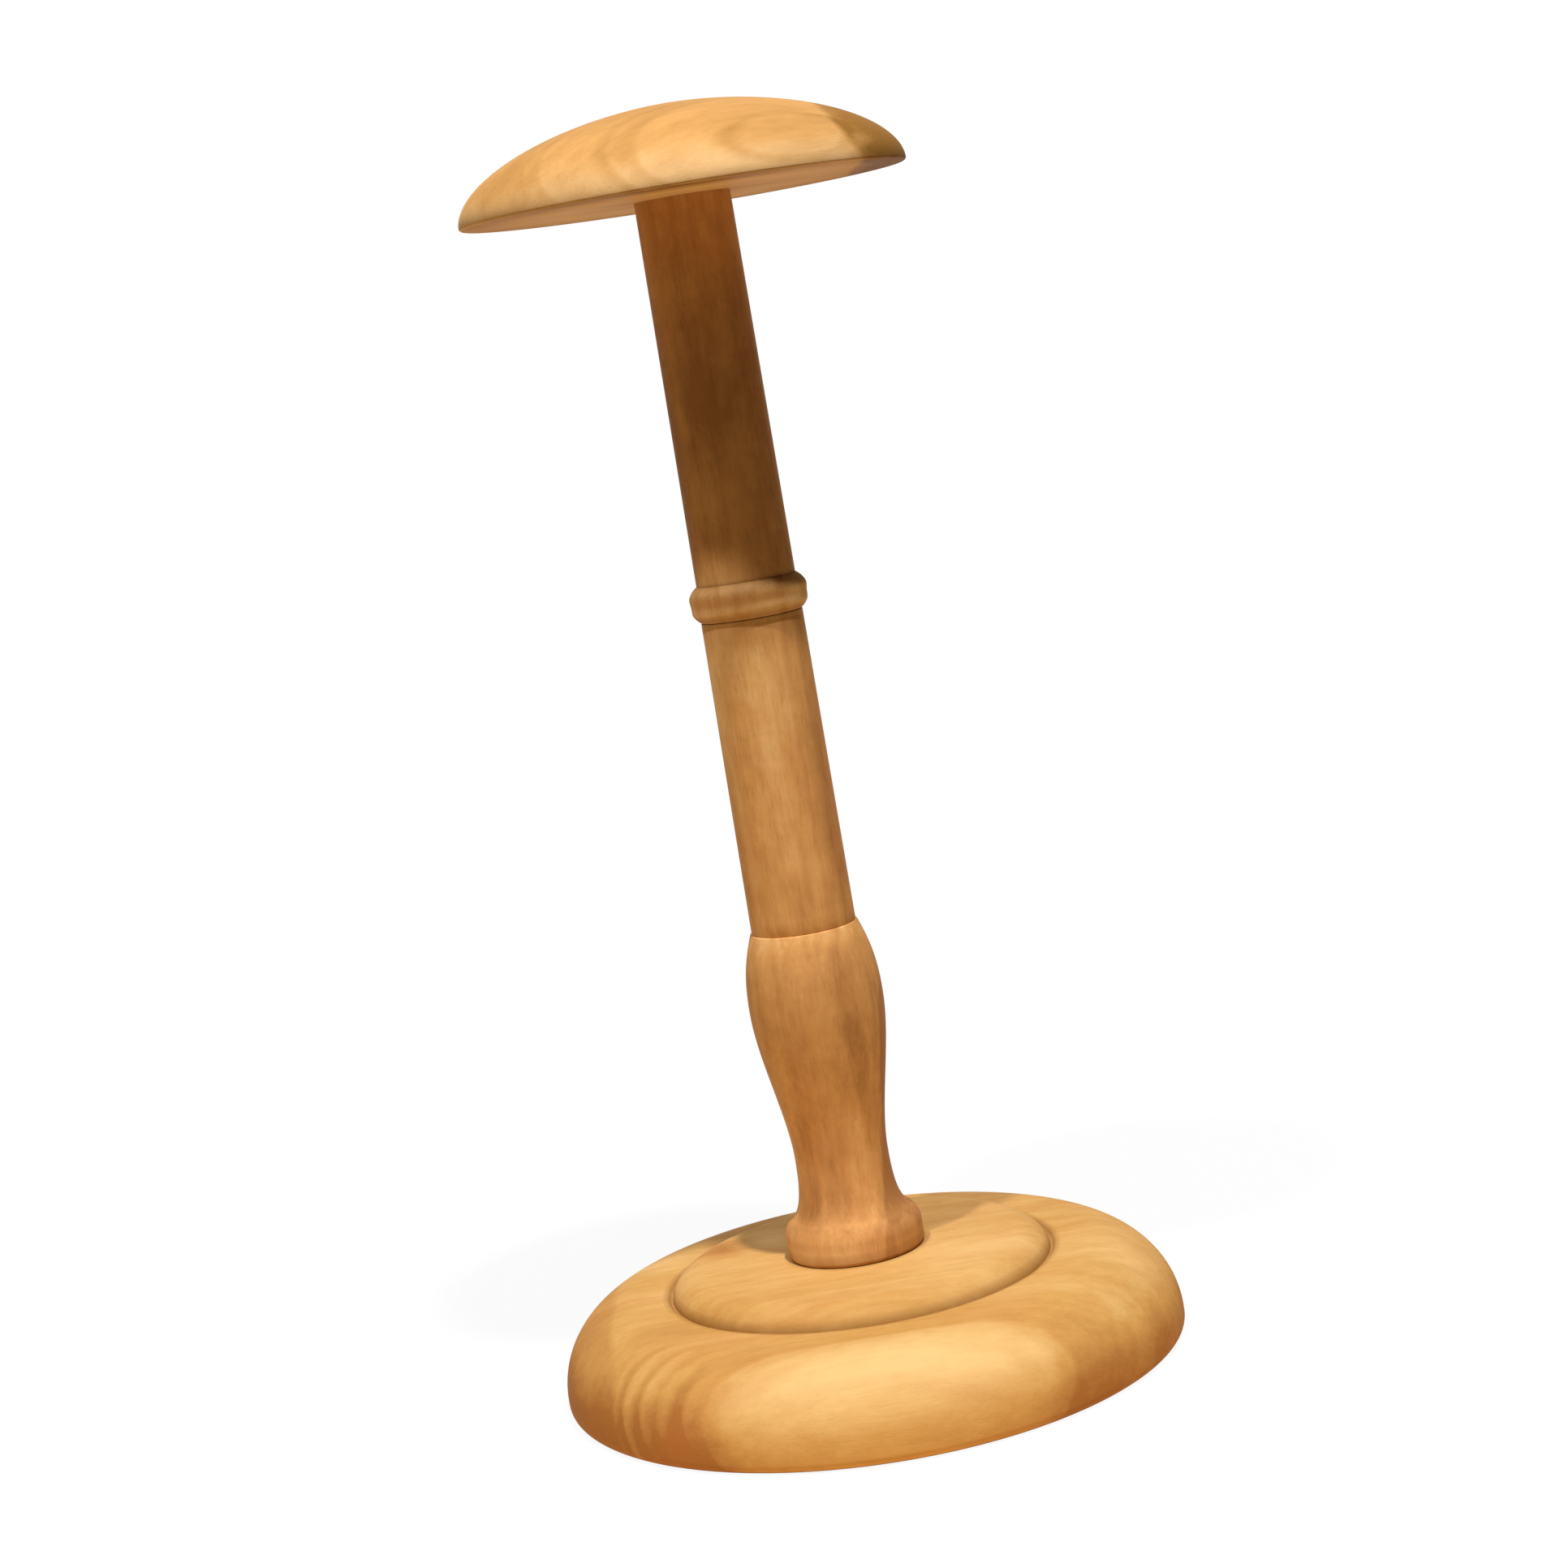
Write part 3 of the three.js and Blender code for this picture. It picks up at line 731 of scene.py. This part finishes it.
def wood_material(piece, figure, colours, grooves, lean=Matrix()):
    """Turned wood as a solid: growth rings, fibres, pores and end grain, with the marks of the lathe.

    Each groove where shade is painted is (place, reach, depth) along the way the tool ran. Light and shade
    are also painted by height, on faces that look down and in patches. The figure leans with its piece.
    """
    material, w = new_material(f"{piece}_wood")
    tones = [getattr(colours, f"{piece}_{tone}") for tone in ("light", "middle", "dark")]
    fibre = Vector(figure.fibre).normalized()
    outward = Vector(figure.outward)
    outward = (outward - fibre * outward.dot(fibre)).normalized()
    axes = Matrix((fibre, outward, fibre.cross(outward)))
    surface, upright = w.add("ShaderNodeTexCoord", output="Normal"), lean.inverted()
    place = w.add("ShaderNodeMapping", {"vector_type": 'POINT'}, {
        "Vector": w.add("ShaderNodeTexCoord", output="Object"), "Location": upright.to_translation(),
        "Rotation": upright.to_euler()})
    grain = w.add("ShaderNodeMapping", {"vector_type": 'POINT'}, {
        "Vector": place, "Rotation": axes.to_euler(), "Scale": (TO_MM, TO_MM, TO_MM)})
    shifted = w.vector('ADD', grain, (SEED_STEP * figure.seed, 0.0, 0.0))
    along, across, deep = w.split(grain)

    # Growth rings, swaying a little on their way
    sway = (w.figured(shifted, 110, 34) - 0.5) * SWAY
    flutter = (w.figured(shifted, 16, 5) - 0.5) * FLUTTER
    offset = deep - figure.centre
    bowed = ((across + figure.curve) ** 2 + offset ** 2) ** 0.5 - figure.curve
    distance = bowed + sway + flutter
    bands = w.profile(distance, figure.bands, 'EASE')
    stops = [(figure.rings[0][0] - RING_REACH, 0.0)]
    for at, width, depth in figure.rings:
        stops += [(at - width, 0.0), (at, depth), (at + 0.5 * width, 0.0)]
    slant = w.maths('ABSOLUTE', w.vector('DOT_PRODUCT', surface, tuple(fibre)))
    bold = (w.profile(distance, stops, 'EASE') * w.profile(along, figure.clear, 'EASE')
            * (slant * END_GRAIN + SIDE_GRAIN))
    uneven = w.noise(w.combine(distance, figure.seed, 0.0), (1 / 9, 1.0, 1.0), detail=0.0) - 0.5
    count = distance / figure.spacing + uneven * 0.7
    part = w.maths('FRACT', count)
    vigour = w.add("ShaderNodeTexWhiteNoise", {"noise_dimensions": '1D'}, {
        "W": w.maths('FLOOR', count) + figure.seed})

    # Fibres and pores, long in the way of the grain
    streak = w.figured(shifted, 70, 1.9, detail=5.0, roughness=0.62) - 0.5
    fibres = w.figured(shifted, 9, 1 / 2.6, detail=3.0, roughness=0.6) - 0.5
    fleck = w.figured(shifted, 4.5, 1 / 1.3, detail=1.5, roughness=0.55)
    patch = w.figured(shifted, 38, 11) - 0.5
    mottle = w.figured(shifted, 9, 4, detail=3.0, roughness=0.6) - 0.5
    ripple = w.figured(shifted, 2.2, 9) - 0.5
    pores = w.ramp(fleck + patch * 0.25, (0.58, 0.0), (0.78, 1.0))

    # Colour, with light and shade painted by height, on faces that look down, in patches and in each groove
    x, y, z = w.split(place)
    radius = (x ** 2 + y ** 2) ** 0.5
    direction, heart_stops = figure.heart
    heart = w.profile(w.vector('DOT_PRODUCT', place, direction) * TO_MM + sway + flutter, heart_stops)
    fine = (part ** LATE_WOOD * (1 - part ** RING_END) * (vigour * 0.75 + 0.25) * (bands + heart * 0.5)
            * figure.ring_depth)
    facing_down = w.maths('MULTIPLY', w.split(surface)[2], -1.0, clamp=True)
    # Light and shade painted by height
    painted_light_and_shade = w.profile(z * TO_MM, figure.light_and_shade_by_height)
    # Shade painted on faces that look down, by their distance from the axis
    if figure.underside:
        painted_light_and_shade += w.profile(radius * TO_MM, figure.underside) * facing_down
    # Light and shade painted in patches, together with patches of darker or paler wood
    light_shade_and_wood_patches = sum((w.pocket(place, centre, reach) * depth for centre, reach, depth in figure.light_shade_and_wood_patches), 0.0)
    grainy = (streak * figure.streak_depth + ripple * figure.ripple_depth + fibres * FIBRE_DEPTH
              + (patch * 1.1 + mottle) * figure.mottle_depth)
    # The tone adds the painted light and shade to the wood's own bands, rings and heart
    tone = w.maths('ADD', bands + bold + fine + heart + painted_light_and_shade + light_shade_and_wood_patches, grainy, clamp=True)
    blush = w.figured(shifted, 50, 13, detail=1.0)
    wood = w.mix(w.shade(tones, tone), scaled(tones[2], ROSY), w.ramp(blush, (0.5, 0.0), (0.72, 0.2)))
    ran = z if figure.turned_about == 'HEIGHT' else radius
    pore_and_shade_share = pores * figure.pore_depth
    # Shade painted into each groove, in the colour of the pores
    for at, reach, depth in grooves:
        near = w.maths('SUBTRACT', 1.0, w.maths('ABSOLUTE', ran - at) / reach, clamp=True)
        if figure.turned_about == 'RADIUS':
            near = near * (1 - facing_down)
        pore_and_shade_share = w.maths('MAXIMUM', pore_and_shade_share, near ** 0.7 * depth)
    wood = w.mix(wood, colours.pore_and_groove_shade, pore_and_shade_share)

    # Relief and sheen
    tool = w.noise(w.combine(ran, 0.0, figure.seed), (TOOL_MARKS, 1.0, 1.0), detail=2.0, roughness=0.7)
    relief = fibres * 0.5 + streak * 0.3 - pores * 0.8 + tool * 0.35
    bump = w.add("ShaderNodeBump", values={"Strength": 0.35, "Distance": WOOD_RELIEF, "Height": relief})
    gloss = 0.6 + streak * 0.16 + pores * 0.12 + slant * 0.1
    shader = w.add("ShaderNodeBsdfPrincipled", values={
        "Base Color": wood, "Roughness": gloss, "Normal": bump, "Specular IOR Level": 0.07})
    w.add("ShaderNodeOutputMaterial", values={"Surface": shader})
    return material


def steel_material(name, steel):
    """Zinc-plated steel with turning marks, dull patches and fine scratches. Scales are in a metre."""
    material, w = new_material(name)
    place = w.add("ShaderNodeTexCoord", output="Object")
    x, y, z = w.split(place)
    ran = (x ** 2 + y ** 2) ** 0.5
    rub = w.noise(w.combine(ran, z, 0.0), (7000.0, 2500.0, 1.0), detail=3.0, roughness=0.7)
    cloud = w.noise(place, (420.0, 420.0, 420.0), detail=3.0)
    scratch = w.ramp(w.noise(place, (260.0, 5200.0, 900.0)), (0.66, 0.0), (0.74, 1.0))
    metal = w.mix(steel, scaled(steel, DULL), w.ramp(cloud, (0.42, 0.0), (0.7, 0.7)))
    metal = w.mix(metal, SCRATCHED, scratch * 0.4)
    bump = w.add("ShaderNodeBump", values={
        "Strength": 0.3, "Distance": STEEL_RELIEF, "Height": rub + scratch * 0.5})
    shader = w.add("ShaderNodeBsdfPrincipled", values={
        "Base Color": metal, "Metallic": 1.0, "Roughness": 0.3 + cloud * 0.25 + rub * 0.1, "Normal": bump})
    w.add("ShaderNodeOutputMaterial", values={"Surface": shader})
    return material


def backdrop_white(w):
    """1 where the eye, a gloss or a glass looks straight at the backdrop."""
    path = w.add("ShaderNodeLightPath").socket.node.outputs
    seen = w.maths('MAXIMUM', Flow(w, path["Is Camera Ray"]), Flow(w, path["Is Glossy Ray"]))
    return w.maths('MAXIMUM', seen, Flow(w, path["Is Transmission Ray"]))


def floor_material(name, tone, far_tone, shadow):
    """Pale floor that looks white, keeps the stand's shadow and is clear from below."""
    material, w = new_material(name)
    place = w.add("ShaderNodeTexCoord", output="Object")
    speckle = w.noise(place, (900.0, 900.0, 900.0))
    away = w.vector('LENGTH', place)
    near = w.profile(away, SHADOW_FADE, 'EASE')
    paper = w.mix(tone, scaled(tone, SPECKLE), speckle)
    paper = w.mix(paper, far_tone, w.profile(away, FAR_FADE, 'EASE'))
    lit = w.add("ShaderNodeBsdfDiffuse", values={"Color": paper})
    shaded = w.add("ShaderNodeBsdfDiffuse", values={"Color": SHADED})
    white = w.add("ShaderNodeEmission", values={"Color": WHITE, "Strength": 1.0})
    floor = w.blend(lit, w.blend(white, shaded, near * shadow), backdrop_white(w))
    below = w.add("ShaderNodeNewGeometry", output="Backfacing")
    clear = w.add("ShaderNodeBsdfTransparent")
    w.add("ShaderNodeOutputMaterial", values={"Surface": w.blend(floor, clear, below)})
    return material


# Stage

CAMERA_PLACE = (0.0, -0.82152, 0.27407)
CAMERA_TURNS = (-0.050944, -0.121240, -0.171428)  # yaw, pitch and roll, in radians
CAMERA_SENSOR, CAMERA_LENS = 36.0, 68.294
CAMERA_SHIFT = 0.10
LAMPS = {  # azimuth, elevation, distance, size and tint
    "main": (29, 68, 3.0, 0.16, WHITE[:3]),
    "side": (-33, 64.2, 3.0, 0.12, WHITE[:3]),
    "fill": (-70, 25, 2.0, 0.8, (1.0, 0.78, 0.5)),
}


def make_camera(scene):
    """Sets the camera where the photograph was taken from."""
    yaw, pitch, roll = CAMERA_TURNS
    ahead = Vector((math.sin(yaw) * math.cos(pitch), math.cos(yaw) * math.cos(pitch), math.sin(pitch)))
    level = Vector((math.cos(yaw), -math.sin(yaw), 0.0))
    up = level.cross(ahead)
    right = level * math.cos(roll) + up * math.sin(roll)
    up = up * math.cos(roll) - level * math.sin(roll)
    data = bpy.data.cameras.new("photo_camera")
    data.sensor_width = CAMERA_SENSOR
    data.lens = CAMERA_LENS
    data.shift_x = CAMERA_SHIFT
    camera = bpy.data.objects.new("photo_camera", data)
    turn = Matrix((right, up, -ahead)).transposed().to_4x4()
    camera.matrix_world = Matrix.Translation(CAMERA_PLACE) @ turn
    scene.collection.objects.link(camera)
    scene.camera = camera


def make_lamp(scene, name, level, target, azimuth, elevation, distance, size, tint):
    """An area lamp aimed at a point. A level of 1 renders a white that faces it as white."""
    turn, rise = math.radians(azimuth), math.radians(elevation)
    back = Vector((math.sin(turn) * math.cos(rise), -math.cos(turn) * math.cos(rise), math.sin(rise)))
    data = bpy.data.lights.new(name, 'AREA')
    data.shape = 'DISK'
    data.size = size
    data.energy = level * math.pi ** 2 * distance ** 2
    data.color = tint
    lamp = bpy.data.objects.new(name, data)
    aim = back.to_track_quat('Z', 'Y').to_matrix().to_4x4()
    lamp.matrix_world = Matrix.Translation(target + back * distance) @ aim
    lamp.visible_camera = False
    scene.collection.objects.link(lamp)


def make_world(scene, level):
    world = bpy.data.worlds.new("room")
    world.use_nodes = True
    w = Wiring(world.node_tree)
    room = w.add("ShaderNodeBackground", values={"Color": WHITE, "Strength": level})
    white = w.add("ShaderNodeBackground", values={"Color": WHITE, "Strength": 1.0})
    w.add("ShaderNodeOutputWorld", values={"Surface": w.blend(room, white, backdrop_white(w))})
    scene.world = world


# Operators

class HATSTAND_OT_head(bpy.types.Operator):
    """Turn the domed head"""

    bl_idname = "hat_stand.head"
    bl_label = "Turn Head"

    def execute(self, context):
        stand = context.scene.hat_stand
        lean = head_lean(stand)
        # Shade painted in a fine line round the rim, under the dome
        material = wood_material("head", HEAD_FIGURE, stand.colours, lean=lean, grooves=(
            (HEAD_SEAT + 1.1 * MM, 1.0 * MM, 0.04),))
        piece = turned_piece("turned_head", head_outline(stand), material, steps_round=stand.head.steps_round)
        piece.data.transform(lean)
        dress(piece, "head")
        return {'FINISHED'}


class HATSTAND_OT_post(bpy.types.Operator):
    """Turn the post with its foot, vase, ledge and bead"""

    bl_idname = "hat_stand.post"
    bl_label = "Turn Post"

    def execute(self, context):
        stand = context.scene.hat_stand
        levels = post_levels(stand)
        # Shade painted where the foot meets the step, where the shaft leaves the ledge, and at the foot and
        # the top of the bead
        material = wood_material("post", POST_FIGURE, stand.colours, grooves=(
            (STEP_TOP + 0.7 * MM, 3.2 * MM, 0.46), (levels["ledge"] + 0.6 * MM, 1.0 * MM, 0.1),
            (levels["bead_foot"] + 0.9 * MM, 1.5 * MM, 0.7), (levels["bead_top"], 0.9 * MM, 0.3)))
        piece = turned_piece("turned_post", post_outline(stand), material, steps_round=stand.post.steps_round)
        dress(piece, "post")
        return {'FINISHED'}


class HATSTAND_OT_base(bpy.types.Operator):
    """Turn the round base with its raised step"""

    bl_idname = "hat_stand.base"
    bl_label = "Turn Base"

    def execute(self, context):
        stand = context.scene.hat_stand
        base = stand.base
        # Shade painted in the groove round the step and where the foot stands on it
        material = wood_material("base", BASE_FIGURE, stand.colours, grooves=(
            (base.step_radius + 0.4 * base.quirk_width, 2.2 * MM, 0.56),
            (stand.post.foot_radius, 1.8 * MM, 0.3)))
        piece = turned_piece("turned_base", base_outline(stand), material, steps_round=base.steps_round)
        dress(piece, "base")
        return {'FINISHED'}


class HATSTAND_OT_fixing(bpy.types.Operator):
    """Make the slotted screw and the washer under the base"""

    bl_idname = "hat_stand.fixing"
    bl_label = "Make Screw and Washer"

    def execute(self, context):
        stand = context.scene.hat_stand
        fixing, levels = stand.fixing, screw_levels(stand)
        material = steel_material("screw_steel", stand.colours.steel)
        screw = turned_piece(
            "slotted_screw", screw_outline(stand), material, threaded=True, steps_round=fixing.steps_round,
            thread_start=levels["thread_start"], thread_end=levels["thread_end"], pitch=fixing.pitch,
            ridge=fixing.thread_radius - fixing.core_radius, slot_length=2 * fixing.head_radius + MM,
            slot_width=fixing.slot_width, slot_depth=fixing.slot_depth, slot_level=fixing.recess)
        dress(screw, "base_screw")
        washer = turned_piece("flat_washer", washer_outline(stand), material, steps_round=fixing.steps_round)
        dress(washer, "screw_washer")
        return {'FINISHED'}


class HATSTAND_OT_stage(bpy.types.Operator):
    """Set the camera, the pale floor and the lamps"""

    bl_idname = "hat_stand.stage"
    bl_label = "Set Stage"

    def execute(self, context):
        scene = context.scene
        stand, stage = scene.hat_stand, scene.hat_stand.stage
        make_camera(scene)
        mesh = bpy.data.meshes.new("floor")
        corners = ((-1, -1), (1, -1), (1, 1), (-1, 1))
        mesh.from_pydata([(x * FLOOR_REACH, y * FLOOR_REACH, 0.0) for x, y in corners], [], [(0, 1, 2, 3)])
        mesh.materials.append(floor_material("pale_floor", stand.colours.floor, stand.colours.floor_far,
                                             stage.shadow))
        floor = bpy.data.objects.new("floor", mesh)
        scene.collection.objects.link(floor)
        middle = Vector((0.0, 0.0, 0.5 * HEAD_TOP))
        for name, placing in LAMPS.items():
            make_lamp(scene, f"{name}_lamp", getattr(stage, f"{name}_level"), middle, *placing)
        make_world(scene, stage.room_level)
        scene.view_settings.view_transform = 'Standard'
        return {'FINISHED'}


class HATSTAND_PT_panel(bpy.types.Panel):
    """Lists the steps that make the hat stand"""

    bl_label = "Hat Stand"
    bl_idname = "HATSTAND_PT_panel"
    bl_space_type = 'VIEW_3D'
    bl_region_type = 'UI'
    bl_category = "Hat Stand"

    def draw(self, context):
        for step in STEPS:
            self.layout.operator(step.bl_idname)
        for group in (getattr(context.scene.hat_stand, name) for name in GROUP_NAMES):
            box = self.layout.box()
            for name in group.__annotations__:
                box.prop(group, name)


STEPS = (HATSTAND_OT_stage, HATSTAND_OT_head, HATSTAND_OT_post, HATSTAND_OT_base, HATSTAND_OT_fixing)
GROUP_NAMES = ("head", "post", "base", "fixing", "colours", "stage")
CLASSES = (HeadSizes, PostSizes, BaseSizes, FixingSizes, FinishColours, StageSettings, HatStand, *STEPS,
           HATSTAND_PT_panel)


def register():
    for cls in CLASSES:
        bpy.utils.register_class(cls)
    bpy.types.Scene.hat_stand = PointerProperty(type=HatStand)


def unregister():
    del bpy.types.Scene.hat_stand
    for cls in reversed(CLASSES):
        bpy.utils.unregister_class(cls)


def main():
    register()
    bpy.ops.hat_stand.stage()
    bpy.ops.hat_stand.head()
    bpy.ops.hat_stand.post()
    bpy.ops.hat_stand.base()
    bpy.ops.hat_stand.fixing()


if __name__ == "__main__":
    main()
